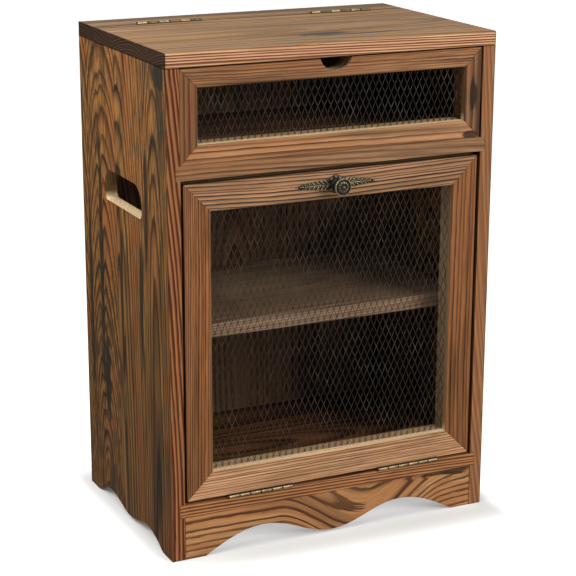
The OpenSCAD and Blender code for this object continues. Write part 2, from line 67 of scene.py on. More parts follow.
# %% [markdown]
# Every finish below is a node tree. Nodes could be placed by hand in the shader editor, but a script can
# say the same in one line each. So one helper turns a colour as a painter writes it (sRGB hex) into the
# linear light that a shader needs, and one adds a node, sets it, links it and gives back its output.

# %% Colours and nodes


def linear(code):
    """sRGB hex to linear: c / 12.92 up to 0.04045, else ((c + 0.055) / 1.055) to the power 2.4."""
    c = np.array([int(code[i : i + 2], 16) for i in (1, 3, 5)]) / 255
    c = np.where(c <= 0.04045, c / 12.92, ((c + 0.055) / 1.055) ** 2.4)
    return (*c.tolist(), 1.0)


def add(tree, kind, *values, out=0, stops=(), **settings):
    """Add a node to a tree, with its settings and links, and return one of its outputs.

    kind is the node's type, and after a space its operation. values are numbers, colours or outputs of
    other nodes, for the inputs that the settings leave in use, in their order. stops are the (place, grey
    or hex) marks of a colour ramp. out counts the outputs in use.
    """
    kind, _, operation = kind.partition(" ")
    node = tree.nodes.new("ShaderNode" + kind)
    if operation:
        node.operation = operation
    for key, value in settings.items():
        setattr(node, key, value)
    for socket, value in zip([socket for socket in node.inputs if socket.enabled], values):
        if isinstance(value, bpy.types.NodeSocket):
            tree.links.new(value, socket)
        else:
            socket.default_value = value
    marks = node.color_ramp.elements if stops else ()
    while len(marks) < len(stops):
        marks.new(0.5)
    for mark, (place, colour) in zip(marks, stops):
        mark.position = place
        mark.color = linear(colour) if isinstance(colour, str) else (colour,) * 3 + (1,)
    return [socket for socket in node.outputs if socket.enabled][out]


def new_material(name):
    """A material with its tree, its shader and the coordinates of the piece that wears it."""
    material = bpy.data.materials.new(name)
    material.use_nodes = True
    tree = material.node_tree
    return material, tree, tree.nodes["Principled BSDF"], add(tree, "TexCoord").node.outputs["Object"]


print("a painter's mid grey, #808080, is", round(linear("#808080")[0], 3), "of full light")

# %% [markdown]
# The camera stands in front and to the left, a little above the lid, with a long lens.
# Its place was worked out from the cabinet's corners, with the real size known.

# %% Camera
SENSOR, PIXELS = 36, 576  # millimetres of film and pixels of picture, side to side


def aim_camera(location, azimuth, drop, roll, focal):
    """Look along (sin a cos d, cos a cos d, -sin d); focal is in pixels of the frame."""
    a, d, c = (math.radians(x) for x in (azimuth, drop, roll))
    ahead = np.array([math.sin(a) * math.cos(d), math.cos(a) * math.cos(d), -math.sin(d)])
    right = np.array([math.cos(a), -math.sin(a), 0])
    up = np.cross(right, ahead)
    axes = np.eye(4)
    axes[:3, 0] = right * math.cos(c) + up * math.sin(c)
    axes[:3, 1] = up * math.cos(c) - right * math.sin(c)
    axes[:3, 2] = -ahead
    axes[:3, 3] = location
    data = bpy.data.cameras.new("camera")
    data.sensor_width, data.lens = SENSOR, focal * SENSOR / PIXELS
    data.clip_start, data.clip_end = 0.05, 50
    camera = bpy.data.objects.new("camera", data)
    camera.matrix_world = Matrix(axes.tolist())
    bpy.context.scene.collection.objects.link(camera)
    bpy.context.scene.camera = camera
    return camera


bpy.context.scene.view_settings.view_transform = "Standard"
camera = aim_camera((-0.889, -1.840, 0.859), azimuth=25.81, drop=16.28, roll=0.185, focal=1803)
print("lens", round(camera.data.lens, 1), "mm")

# %% [markdown]
# A product picture on white has soft light: a wide lamp in front and to the right, a weaker one from
# above, an even pale room, and a small lamp at the left that brightens the upper part of that side.

# %% Lamps and room


def soft_lamp(name, location, target, size, watts):
    """A square area lamp that looks at the target."""
    data = bpy.data.lights.new(name, "AREA")
    data.size, data.energy = size, watts
    lamp = bpy.data.objects.new(name, data)
    look = Matrix.Translation(location).to_translation() - Matrix.Translation(target).to_translation()
    lamp.rotation_euler = look.to_track_quat("Z", "Y").to_euler()
    lamp.location = location
    bpy.context.scene.collection.objects.link(lamp)
    return lamp


soft_lamp("front lamp", (1.4, -2.5, 1.5), (0, 0, 0.3), 1.5, 84)
soft_lamp("top lamp", (-0.3, -0.7, 2.3), (0, 0, 0.3), 1.3, 22)
soft_lamp("side lamp", (-0.62, 0, 0.62), (-0.2, 0, 0.46), 0.4, 6)

room_light = 0.28  # the eye and shiny metal see the room at full white all the same
world = bpy.data.worlds.new("pale room")
bpy.context.scene.world = world
world.use_nodes = True
tree = world.node_tree
rays = add(tree, "LightPath").node.outputs
seen = add(tree, "Math MAXIMUM", rays["Is Camera Ray"], rays["Is Transmission Ray"])
seen = add(tree, "Math MAXIMUM", seen, rays["Is Glossy Ray"])
strength = add(tree, "Math MULTIPLY_ADD", seen, 1 - room_light, room_light)
tree.links.new(strength, tree.nodes["Background"].inputs["Strength"])
tree.nodes["Background"].inputs["Color"].default_value = (1, 1, 1, 1)

# %% [markdown]
# The floor is plain white paper. For the camera alone it is lifted away from the cabinet, until it meets
# the white behind it, so it keeps the soft shadow close to the feet. Right under the cabinet it is lifted
# a little too: painted light that lightens the shadow there, standing in for light that a white room
# bounces in from all sides.

# %% Floor
floor_mesh = bpy.data.meshes.new("floor")
floor_mesh.from_pydata([(-6, -6, 0), (6, -6, 0), (6, 6, 0), (-6, 6, 0)], [], [(0, 1, 2, 3)])
floor = bpy.data.objects.new("floor", floor_mesh)
bpy.context.scene.collection.objects.link(floor)
outside, inside = 0.07, 0.06  # metres from the cabinet's outline over which the lift grows
paper, tree, shader, place = new_material("white paper floor")
shader.inputs["Base Color"].default_value = linear("#d2d2d0")
shader.inputs["Roughness"].default_value = 0.8
flat = add(tree, "SeparateXYZ", place).node.outputs
past = [add(tree, "Math ADD", add(tree, "Math ABSOLUTE", flat[n]), -cad_high[n]) for n in (0, 1)]
beside = add(tree, "CombineXYZ", *[add(tree, "Math MAXIMUM", p, 0.0) for p in past])
away = add(tree, "VectorMath LENGTH", add(tree, "VectorMath MULTIPLY", beside, (2, 1, 0)))
far = add(tree, "MapRange", away, 0.0, outside, 0.07, 0.75, interpolation_type="SMOOTHSTEP")
# painted light: for the camera, the floor under the cabinet glows a little, lightening its shadow
painted_light_under = add(tree, "Math MAXIMUM", past[0], past[1])
painted_light_under = add(tree, "MapRange", painted_light_under, 0.0, -inside, 0.0, 0.42, interpolation_type="SMOOTHSTEP")
for_camera = add(tree, "LightPath").node.outputs["Is Camera Ray"]
lift = add(tree, "Math MULTIPLY", add(tree, "Math ADD", far, painted_light_under), for_camera)
tree.links.new(lift, shader.inputs["Emission Strength"])
shader.inputs["Emission Color"].default_value = (1, 1, 1, 1)
floor_mesh.materials.append(paper)
print("floor", [round(x, 1) for x in floor.dimensions])

# %% [markdown]
# The real boards are pine that was passed under a flame and brushed. The flame darkens the hard late
# wood of each year ring and leaves the soft early wood tan, the brush takes away some of the soft wood,
# so the dark lines stand a hair proud, and a brown oil ties it together. A picture of planks could be
# wrapped round each board, but its lines would break at every edge. Rings are tubes around the tree's
# pith, so the pattern here is worked out in space: the distance of a point to a wavering pith line, cut
# into rings. The arches on flat boards, the straight lines on edges and the arcs on the end grain then
# come by themselves, and they meet at the corners as on real wood.

# %% Grain coordinates


def grain_axes(node):
    """(across, depth, along) axes of a board, from the sides of its box: middle, shortest, longest."""
    low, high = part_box(node)
    depth, across, along = np.argsort(np.array(high) - np.array(low))
    return int(across), int(depth), int(along)


def stretched(tree, vector, across, along, move=0.0):
    """Grain coordinates with so many pattern widths per metre across and along the grain."""
    return add(tree, "Mapping", vector, (move * 7, move * 3, move * 2), (0, 0, 0), (across, across, along))


print("the lid's grain runs along axis", grain_axes("lid_board")[2])

# %% [markdown]
# A wide board is glued up from strips of about a hand's breadth. Each strip comes from another place of
# another tree, so chance moves its grain to the side, deeper or shallower and far along, and a thin
# glue line shows between two of them. Inside a strip the pith line strays: slowly, by centimetres, which
# makes the arches, and quickly, by a millimetre or less, which makes the rings ragged.

# %% Strips and the wavering pith


def glued_strips(tree, u, v, s, seed, stave, pith, lean, roam):
    """Grain coordinates (across, depth, along) of each strip, the glue seams and the strip's chance.

    strip = floor(u / stave), and its chance numbers move u by up to roam, scale the depth of the
    pith, tilt it by lean and slide the strip 0 to 3 metres along the tree.
    """
    share = add(tree, "Math MULTIPLY_ADD", u, 1000 / stave, 0.5 + seed % 0.37)
    strip = add(tree, "Math FLOOR", share)
    seam = add(tree, "Math ABSOLUTE", add(tree, "Math ADD", add(tree, "Math FRACT", share), -0.5))
    seam = add(tree, "MapRange", seam, 0.5 - 0.6 / stave, 0.5 - 0.2 / stave, 0.0, 0.8)
    chance = add(tree, "TexWhiteNoise", add(tree, "Math ADD", strip, seed), out=1, noise_dimensions="1D")
    one = add(tree, "SeparateXYZ", chance).node.outputs
    u = add(tree, "Math MULTIPLY_ADD", strip, -stave * mm, u)
    u = add(tree, "Math MULTIPLY_ADD", one[0], roam * mm, u)
    u = add(tree, "Math ADD", u, (pith[0] - roam / 2) * mm)
    v = add(tree, "Math MULTIPLY_ADD", add(tree, "Math ADD", one[1], 0.6), pith[1] * mm, v)
    v = add(tree, "Math MULTIPLY_ADD", s, add(tree, "Math MULTIPLY_ADD", one[2], 2.2 * lean, -0.6 * lean), v)
    return u, v, add(tree, "Math MULTIPLY_ADD", one[2], 3.0, s), seam, one[1]


def burnt_ovals(tree, s, u, marks):
    """1 in the middle of each oval (along, across, half length, half width) and 0 at twice its size."""
    burnt = 0.0
    for at_s, at_u, half_s, half_u in marks:
        ds = add(tree, "Math MULTIPLY_ADD", s, 1000 / half_s, -at_s / half_s)
        du = add(tree, "Math MULTIPLY_ADD", u, 1000 / half_u, -at_u / half_u)
        oval = add(tree, "VectorMath LENGTH", add(tree, "CombineXYZ", ds, du))
        burnt = add(tree, "Math MAXIMUM", add(tree, "MapRange", oval, 2.0, 0.3), burnt)
    return burnt


def wavering(tree, grainwise, seed, waver, shake):
    """Grain coordinates moved by slow noise of reach waver, and by quick noise of reach shake[0]."""
    slow, fast = stretched(tree, grainwise, 7, 2.4, seed), stretched(tree, grainwise, 28, shake[1])
    moved = grainwise
    for at, detail, reach in ((slow, 0.0, waver * 4), (fast, 1.0, shake[0])):
        about = add(tree, "VectorMath ADD", add(tree, "TexNoise", at, 1.0, detail, out=1), (-0.5,) * 3)
        moved = add(tree, "VectorMath MULTIPLY_ADD", about, (reach * mm,) * 3, moved)
    return moved


# %% [markdown]
# In one year ring the pale early wood darkens slowly into a late line, which breaks off sharply where
# the next spring begins. Good and bad summers make the rings uneven in width and in darkness.

# %% Year rings


def year_rings(tree, moved, fibre, look, ring, seed):
    """The ring count, radius / ring + 0.16 fibre, and the lateness within a ring, weaker in some years."""
    round_pith = add(tree, "VectorMath MULTIPLY", moved, (1, 1, 0))
    radius = add(tree, "VectorMath LENGTH", round_pith)
    uneven = add(tree, "TexNoise", radius, 350 / ring, 1.0, noise_dimensions="1D")
    radius = add(tree, "Math MULTIPLY_ADD", uneven, ring * 1.6 * mm, radius)
    count = add(tree, "Math MULTIPLY_ADD", fibre, 0.16, add(tree, "Math MULTIPLY", radius, 1000 / ring))
    year = add(tree, "Math ADD", add(tree, "Math FLOOR", count), seed)
    summer = add(tree, "TexWhiteNoise", year, noise_dimensions="1D")
    summer = add(tree, "Math MULTIPLY_ADD", summer, look["uneven"], 1 - look["uneven"])
    late = add(tree, "ValToRGB", add(tree, "Math FRACT", count), stops=look["ring"])
    return count, add(tree, "Math MULTIPLY", late, summer)


# %% [markdown]
# The hand slots, the finger notch and the inner edges of the frames were sawn after the flame, so their
# walls are pale and furry, with painted shade darkening them towards the top, where less light reaches.
# Outer edges are the other way round: they are darkened, partly as char where the flame licked round
# them and partly as painted shade of the gaps beside them. Both are masks made from a round-cornered
# outline.

# %% Sawn openings


def window_mask(tree, place, window, grow):
    """1 inside a round-cornered window grown by some mm: distance to a smaller rectangle, less radius."""
    parts = add(tree, "SeparateXYZ", place).node.outputs
    radius, reach = window["radius"], []
    for axis, middle, size in zip(window["axes"], window["centre"], window["half"]):
        away = add(tree, "Math ABSOLUTE", add(tree, "Math ADD", parts[axis], -middle * mm))
        reach.append(add(tree, "Math MAXIMUM", add(tree, "Math SUBTRACT", away, (size - radius) * mm), 0.0))
    corner = add(tree, "VectorMath LENGTH", add(tree, "CombineXYZ", *reach))
    edge, soft = (radius + grow) * mm, 0.3 * mm
    return add(tree, "MapRange", corner, edge + soft, edge - soft)


def raw_wood(tree, place, window, late):
    """Pale, furry sawn wood. From 1 mm above the sill, less drop, it darkens over 8 mm of height: painted
    shade.
    """
    fur = add(tree, "TexNoise", place, 650.0, 3.0, 0.7)
    pale = add(tree, "ValToRGB", fur, stops=[(0.3, "#a88c68"), (0.5, "#cdb48c"), (0.68, "#efdfc0")])
    height = add(tree, "SeparateXYZ", place, out=2)
    start = (window["centre"][1] - window["half"][1] - window.get("drop", 0) + 1) * mm
    # painted shade: over 8 mm above the sill the walls of an opening turn dark brown
    shade_above_sill = add(tree, "MapRange", height, start, start + 8 * mm, 0.0, window["top_shade"])
    pale = add(tree, "Mix", shade_above_sill, pale, linear("#443016"), data_type="RGBA")
    return add(tree, "Mix", add(tree, "Math MULTIPLY", late, 0.3), pale, linear("#8c6f45"), data_type="RGBA")


# %% [markdown]
# The colours follow from the rings. Early wood swings between two tans in streaks a few millimetres wide,
# late wood is nearly black, the stain lies in clouds, and the flame licked long tongues along the grain.
# On the narrow faces the rings stand closer and the colours are warmer, as the flame passed them once.

# %% Stain and colours of the rings


def stained(tree, moved, late, skin, seam, look, seed, calm):
    """Lateness as the stain shows it: weak in clouds, times calm on broad faces, and full in glue lines."""
    cloud = add(tree, "TexNoise", stretched(tree, moved, 16, 5, seed), 1.0)
    strength = add(tree, "ValToRGB", cloud, stops=[(0.3, look["fade"]), (0.6, 1.0)])
    late = add(tree, "Math MULTIPLY", late, strength)
    if calm < 1:
        late = add(tree, "Math MULTIPLY", late, add(tree, "Math MULTIPLY_ADD", skin, calm - 1, 1.0))
    return add(tree, "Math MAXIMUM", late, seam)


def ring_colours(tree, moved, streak, count, late, skin, look, seed):
    """Early and late colour mixed by lateness and charred in tongues, and the lateness used.

    Where skin is 0, on the narrow faces, the rings are fract(count * close) and nothing is charred.
    """
    warm = add(tree, "TexNoise", stretched(tree, moved, 34, 4, seed + 2), 1.0, 3.0)
    warm = add(tree, "ValToRGB", warm, stops=[(0.45, 0.0), (0.65, 0.7)])
    lick = add(tree, "TexNoise", stretched(tree, moved, 40, 3, seed), 1.0, 3.0)
    burn = add(tree, "ValToRGB", lick, stops=look["burn"])
    streak = add(tree, "ValToRGB", streak, stops=[(0.38, 0.0), (0.62, 1.0)])
    early = add(tree, "Mix", streak, linear(look["early"]), linear(look["early_2"]), data_type="RGBA")
    early = add(tree, "Mix", warm, early, linear(look["warm"]), data_type="RGBA")
    late_colour = linear(look["late"])
    if look["edge"]:
        close_rings = add(tree, "Math FRACT", add(tree, "Math MULTIPLY", count, look["close"]))
        close_rings = add(tree, "ValToRGB", close_rings, stops=STRIPES)
        late = add(tree, "Mix", skin, close_rings, late, data_type="RGBA")
        early = add(tree, "Mix", skin, linear(look["edge"][0]), early, data_type="RGBA")
        late_colour = add(tree, "Mix", skin, linear(look["edge"][1]), late_colour, data_type="RGBA")
        burn = add(tree, "Math MULTIPLY", burn, skin)
    colour = add(tree, "Mix", late, early, late_colour, data_type="RGBA")
    return add(tree, "Mix", burn, colour, linear(look["char"]), data_type="RGBA"), late


def shaded(tree, colour, strip_tone, fibre, end, look, tone):
    """The colour times the tone of its strip, the fibres, and look["end"] on end grain."""
    shade = add(tree, "Math MULTIPLY_ADD", strip_tone, 0.24 * tone, 0.88 * tone)
    fibre_shade = add(tree, "Math MULTIPLY_ADD", fibre, look["fibre"], 1 - look["fibre"] / 2)
    shade = add(tree, "Math MULTIPLY", shade, fibre_shade)
    shade = add(tree, "Math MULTIPLY", shade, add(tree, "Math MULTIPLY_ADD", end, look["end"] - 1, 1.0))
    shade = add(tree, "CombineColor", shade, shade, shade)
    return add(tree, "Mix", 1.0, colour, shade, data_type="RGBA", blend_type="MULTIPLY")


# %% [markdown]
# Now the layers go on in the order of the real work: the wood with its rings and streaks, the flame and
# its burnt marks, the stain that end grain drinks, and the saw cuts, which get painted shade towards
# their tops. The dark rims are partly char and partly painted shade of the gaps between parts. A little
# relief follows, because the brush left the late wood proud.

# %% Torched pine


def pine(node, look, axes=None, seed=0.0, pith=(0.0, 60.0), lean=0.03, ring=3.2, waver=9.0, stave=900.0,
         dip=None, tone=1.0, calm=1.0, raw=None, rim=None, marks=()):
    """Torched pine for one piece. Lengths are in mm.

    pith is how far the tree's centre lies beside and behind the middle of a strip, lean how much it
    slopes along the board, ring the mean width of a year ring, waver how far the pith line strays,
    and stave the width of the glued strips. dip = (depth, place, reach) bends the grain down into a
    wide U. tone makes the board lighter or darker, and calm below 1 quietens the rings on the broad
    faces. raw is a sawn opening with pale walls that get painted shade towards the top, rim an outline
    beyond which the edges are darkened as char and as painted shade of the gaps, and marks are ovals
    that the flame burnt nearly black, measured from the board's middle.
    """
    across, depth, along = axes or grain_axes(node)
    low, high = (np.array(v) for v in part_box(node))
    middle, half = (low + high) / 2, (high - low) / 2
    material, tree, shader, place = new_material(f"{look['name']}, {node.replace('_', ' ')}")
    centred = add(tree, "Mapping", place, (-middle).tolist(), vector_type="POINT")
    parts = add(tree, "SeparateXYZ", centred).node.outputs
    s = parts[along]
    u, v, far_s, seam, strip_tone = glued_strips(
        tree, parts[across], parts[depth], s, seed, stave, pith, lean, look["roam"]
    )
    if dip:
        off = add(tree, "Math ABSOLUTE", add(tree, "Math ADD", s, -dip[1] * mm))
        bend = add(tree, "MapRange", off, 0.0, dip[2] * mm, dip[0] * mm, 0.0, interpolation_type="SMOOTHSTEP")
        u = add(tree, "Math ADD", u, bend)
    if marks:
        # the rings bulge around a burnt mark as around a knot
        burnt = burnt_ovals(tree, s, parts[across], marks)
        v = add(tree, "Math MULTIPLY_ADD", burnt, 4 * mm, v)
    moved = wavering(tree, add(tree, "CombineXYZ", u, v, far_s), seed, waver, look["shake"])

    # fibres are about a millimetre wide, and streaks of colour a few millimetres
    fibre = add(tree, "TexNoise", stretched(tree, moved, 900, 16), 1.0, 3.0, 0.65)
    fibre = add(tree, "MapRange", fibre, 0.3, 0.7)
    streak = add(tree, "TexNoise", stretched(tree, moved, 260, 5), 1.0, 3.0, 0.6)

    # skin is 1 on the broad faces and 0 on the narrow ones, and end is 1 on end grain
    skin = add(tree, "Math ABSOLUTE", parts[depth])
    skin = add(tree, "MapRange", skin, half[depth] - 0.9 * mm, half[depth] - 0.4 * mm)
    end = add(tree, "MapRange", add(tree, "Math ABSOLUTE", s), half[along] - 1.2 * mm, half[along] - 0.2 * mm)
    count, late = year_rings(tree, moved, fibre, look, ring, seed)
    late = stained(tree, moved, late, skin, seam, look, seed, calm)
    colour, late = ring_colours(tree, moved, streak, count, late, skin, look, seed)
    if marks:
        ragged = add(tree, "Math MULTIPLY_ADD", streak, 0.9, add(tree, "Math ADD", burnt, -0.7))
        ragged = add(tree, "ValToRGB", ragged, stops=[(0.1, 0.0), (0.3, 0.9)])
        colour = add(tree, "Mix", ragged, colour, linear(look["char"]), data_type="RGBA")
    colour = shaded(tree, colour, strip_tone, fibre, end, look, tone)
    if raw:
        wall = add(tree, "Math SUBTRACT", 1.0, skin)
        wall = add(tree, "Math MULTIPLY", window_mask(tree, place, raw, 0.2), wall)
        colour = add(tree, "Mix", wall, colour, raw_wood(tree, place, raw, late), data_type="RGBA")
    if rim:
        # beyond the rim's outline the edges take the rim colour: partly char, partly painted shade of the
        # gaps
        within = window_mask(tree, place, rim, -0.2)
        colour = add(tree, "Mix", within, linear(rim["colour"]), colour, data_type="RGBA")

    # end grain shines less, and the relief is a quarter of a millimetre deep
    tree.links.new(colour, shader.inputs["Base Color"])
    shader.inputs["Roughness"].default_value = look["rough"]
    shine = add(tree, "Math MULTIPLY_ADD", end, -0.85 * look["shine"], look["shine"])
    tree.links.new(shine, shader.inputs["Specular IOR Level"])
    height = add(tree, "Math MULTIPLY_ADD", fibre, 0.6, late)
    bump = add(tree, "Bump", look["relief"], 0.25 * mm, 0.1, height)  # 0.1 is the usual filter width
    tree.links.new(bump, shader.inputs["Normal"])
    return material


# %% [markdown]
# The same pine has several looks here. The sides and the lid were torched hard and oiled a cool brown.
# The front got less flame and is warmer. The frames that clamp the nets are hardly stained at all.
# A look starts from another one and names only what differs: the colours of early and late wood and of
# charred streaks, the pair of colours on narrow faces (edge), how uneven the rings and fibres are, how
# weak the stain gets (fade), how dark the end grain is, and so on. The four lists are ring profiles:
# places within a year ring, and how dark the wood is there.

# %% Looks of the pine
SHARP = [
    (0.0, 0.4), (0.03, 0.0), (0.42, 0.0), (0.64, 0.45), (0.77, 0.95), (0.84, 1.0), (0.97, 1.0), (1.0, 0.4),
]
SOFT = [(0.0, 0.3), (0.06, 0.0), (0.4, 0.1), (0.7, 0.7), (0.84, 1.0), (0.95, 1.0), (1.0, 0.3)]
BOLD = [(0.0, 0.5), (0.02, 0.0), (0.58, 0.0), (0.7, 0.5), (0.78, 1.0), (0.98, 1.0), (1.0, 0.5)]
STRIPES = [(0.0, 0.5), (0.1, 0.0), (0.38, 0.05), (0.56, 0.8), (0.7, 1.0), (0.94, 1.0), (1.0, 0.5)]
SIDE = dict(
    name="torched pine", early="#8a602f", early_2="#4b3318", warm="#875027", late="#120903", char="#1b190f",
    edge=("#bb7d50", "#632f1a"), close=1.4, ring=SHARP, uneven=0.3, fade=0.85,
    burn=[(0.52, 0.0), (0.68, 0.7)], fibre=0.5, end=0.3, rough=0.7, relief=0.6, shake=(0.3, 6), shine=0.06,
    roam=60,
)
RIGHT = dict(SIDE, edge=("#b07a52", "#94623f"), close=1.0)
FRONT = dict(
    SIDE, name="warm torched pine", early="#9f714b", early_2="#765032", warm="#96603c", late="#2a150a",
    char="#2a1b12", edge=(), burn=[(0.56, 0.0), (0.72, 0.6)], end=0.6, uneven=0.4, fade=0.7,
    shine=0.12, roam=30, fibre=0.45, shake=(1.0, 26),
)
PLAIN = dict(
    FRONT, name="quiet torched pine", early="#9a7352", early_2="#7f5c3e", warm="#94643f", late="#42240f",
)
BANDS = dict(
    FRONT, name="bold torched pine", early="#9a7048", early_2="#835a36", warm="#8e5e38", late="#33190b",
    ring=BOLD, uneven=0.2, fade=0.85, shake=(1.8, 26),
)
STILE = dict(
    FRONT, name="deeper torched pine", early="#905c32", early_2="#6c4322", late="#1e0f08", fade=1.0,
    uneven=0.25, shake=(0.4, 12),
)
BASE = dict(STILE, name="torched pine of the bottom board", edge=("#b57b4c", "#5e361e"), close=1.3)
RAIL = dict(
    FRONT, name="rubbed torched pine", early="#b58a66", early_2="#8e6847", warm="#aa7b59", late="#2a160c",
    fade=0.75, uneven=0.5,
)
LID = dict(
    SIDE, name="brushed lid pine", early="#94734f", early_2="#6b5036", warm="#8c6638", late="#24150b",
    char="#241a16", edge=("#b08663", "#5a2c16"), close=1.0, uneven=0.35, fade=0.75,
    burn=[(0.56, 0.0), (0.74, 0.6)], fibre=0.45, end=0.05, relief=0.3, shine=0.2, roam=30, shake=(0.15, 6),
)
PALE = dict(
    SIDE, name="raw pine", early="#c6ad88", early_2="#b0946e", warm="#b89468", late="#8e6c48",
    char="#755a3c", edge=(), ring=SOFT, uneven=0.5, fade=0.6, burn=[(0.7, 0.0), (0.9, 0.4)], fibre=0.25,
    end=0.8, relief=0.2, shine=0.15, roam=30,
)
SHELF = dict(PALE, name="handled raw pine", early="#c6a384", early_2="#a5866a", late="#6b4d38")
looks = (SIDE, RIGHT, FRONT, PLAIN, BANDS, STILE, BASE, RAIL, LID, PALE, SHELF)
print("looks:", ", ".join(look["name"] for look in looks))

# %% [markdown]
# The boards are the CAD's own solids. Their finish adds two modifiers: Weld joins the loose triangles
# of the import, and Bevel breaks the sharp edges by less than a millimetre, as sandpaper does.

# %% Sanded edges


def finish_board(node, material, edge=0.7):
    """Give a CAD solid its material and sanded edges (edge in mm)."""
    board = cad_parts[node]
    board.data.materials.clear()
    board.data.materials.append(material)
    weld = board.modifiers.new("join triangles", "WELD")
    weld.merge_threshold = 0.01 * mm
    if edge:
        bevel = board.modifiers.new("sanded edges", "BEVEL")
        bevel.width, bevel.segments, bevel.limit_method = edge * mm, 2, "ANGLE"
        bevel.angle_limit, bevel.harden_normals = math.radians(40), True
    return board


def pine_board(node, look, **grain):
    """Finish one board in pine of its own."""
    return finish_board(node, pine(node, look, **grain))


# %% [markdown]
# Each side is glued up from three wide strips. The flame left long dark tongues on the left one, each
# placed by its middle along and across the board; one round oval at its top front is painted shade
# under the lid instead. The hand slot is a sawn opening, pale at its sill and darkened above it by
# painted shade.

# %% The two sides
# the last number of a sawn opening says how dark painted shade makes its upper walls
slot_cut = dict(axes=(1, 2), centre=(10.5, 395), half=(58, 18.5), radius=2, top_shade=0.97)
side = dict(tone=0.54, stave=88, ring=4.6, pith=(0, 58), lean=0.12, waver=7, raw=slot_cut)
# (268, -112, 14, 12) is no flame tongue: it is painted shade at the top front, under the lid
left_marks = [
    (23, 74, 130, 5), (120, -71, 52, 4), (10, -53, 60, 4), (268, -112, 14, 12), (-119, 62, 46, 7),
    (-20, 112, 90, 4), (-30, 8, 80, 3),
]
right_marks = [(90, 30, 90, 4), (-40, -60, 60, 3)]
pine_board("left_side", SIDE, seed=1.0, marks=left_marks, **side)
pine_board("right_side", RIGHT, seed=2.0, marks=right_marks, **side)
print("sides, with", len(left_marks) + len(right_marks), "burnt tongues")

# %% [markdown]
# The lid and the fixed strip behind it lie in the same plane and match in colour. The two edges where
# they meet are darkened, partly as char and partly as painted shade of the gap between them. Calm grain
# and a little shine show that hands wipe this face.

# %% The lid and the strip behind it
lid = dict(ring=3.0, pith=(0, 150), lean=0.008, waver=3, calm=0.75)
# the lid's back edge and the strip's front edge go dark: char and painted shade of the gap between them
lid_gap = dict(axes=(0, 1), centre=(0, -105.1), half=(300, 194.9), radius=1, colour="#2e1f14")
strip_gap = dict(lid_gap, centre=(0, 196.9), half=(300, 103.1))
scorch = [(15, -46, 26, 7), (60, -58, 45, 3)]
pine_board("lid_board", LID, seed=3.0, stave=110, tone=1.1, rim=lid_gap, marks=scorch, **lid)
pine_board("back_strip", LID, seed=4.0, tone=0.92, rim=strip_gap, **lid)
print("lid and strip")

# %% [markdown]
# The level boards show their front edges, and the shelf is seen through the net, paler from use. The
# apron has bold arches: its grain dips in a wide U, as where a branch once pushed the rings aside.

# %% Level boards, back and apron
level = dict(stave=110, pith=(0, 80))
pine_board("floor_board", BASE, seed=5.0, ring=4.4, tone=0.68, **level)
pine_board("divider_board", PLAIN, seed=6.0, ring=5, tone=0.82, **level)
pine_board("inner_shelf", SHELF, seed=7.0, ring=3.4, tone=0.5, **level)
# the back panel's low tone is partly painted shade: it keeps the inside of the cabinet dim
pine_board("back_panel", PLAIN, seed=8.0, ring=3.4, stave=120, tone=0.42)
apron = dict(ring=6.0, pith=(-45, 34), waver=8, dip=(50, 40, 110), tone=1.03, marks=[(150, 23, 30, 2.5)])
pine_board("front_apron", BANDS, seed=27.0, **apron)
print("level boards, back and apron")

# %% [markdown]
# Both frames are mitred, so at each corner the grain of a rail meets the grain of a stile. Their outer
# rims are darkened, partly as char and partly as painted shade of the gaps around the frames, and their
# openings were sawn afterwards, with painted shade towards the top of each. Every member came from
# another plank, which is why each has its own ring width and tone.

# %% The two frames
# the rims' colours are partly char and partly painted shade of the gaps around the frames
window_char_and_shade_rim = dict(axes=(0, 2), centre=(0, 501.25), half=(183.7, 51.25), radius=2, colour="#4a2e1b")
# the holes and the notch: their last number is how dark painted shade makes the upper walls
window_hole = dict(axes=(0, 2), centre=(0, 501.25), half=(162.7, 30.25), radius=0.5, top_shade=0.95)
door_char_and_shade_rim = dict(axes=(0, 2), centre=(0, 248.95), half=(181, 180.55), radius=2, colour="#302015")
door_hole = dict(axes=(0, 2), centre=(0, 248.95), half=(149, 148.55), radius=0.5, top_shade=0.75)
notch = dict(axes=(0, 2), centre=(0, 558.4), half=(19.9, 19.9), radius=19.9, top_shade=0.65, drop=5)
members = ("top_rail", "bottom_rail", "left_stile", "right_stile")
window_looks = (FRONT, PLAIN, FRONT, FRONT)
window_tones, window_rings = (0.97, 1.22, 0.62, 0.75), (3, 7, 7, 9)
door_looks = (dict(RAIL, fade=0.95, uneven=0.25), RAIL, STILE, dict(STILE, fade=0.4))
door_tones, door_rings = (0.78, 1.06, 0.94, 0.73), (3.4, 3.1, 2.3, 5)
window_raws = (notch, window_hole, window_hole, window_hole)
window_marks = ((), [(172, -6, 10, 4)], (), [(-2, 1, 14, 4)])
for n, member in enumerate(members):
    pine_board(
        "window_" + member, window_looks[n], seed=20.0 + n, ring=window_rings[n], pith=(110, 50), waver=5,
        tone=window_tones[n], raw=window_raws[n], rim=window_char_and_shade_rim, marks=window_marks[n],
    )
    pine_board(
        "door_" + member, door_looks[n], seed=30.0 + n, ring=door_rings[n], pith=(150, 50), waver=5,
        tone=door_tones[n], raw=door_hole, rim=door_char_and_shade_rim,
    )
print("frames with", 2 * len(members), "members")

# %% [markdown]
# Behind each frame a second one of plain wood clamps the net. In the window its top and side members
# get the darker front pine and its bottom one stays raw; in the door all four stay raw.

# %% The frames that clamp the nets
for panel in ("window", "door"):
    for n, place_name in enumerate(("top", "bottom", "left", "right")):
        node = f"{panel}_backing_{place_name}"
        look = FRONT if panel == "window" and place_name != "bottom" else PALE
        cut = notch if node == "window_backing_top" else None
        pine_board(node, look, seed=40.0 + n, ring=2.6, pith=(60, 60), tone=0.85, raw=cut)
print("backing frames")

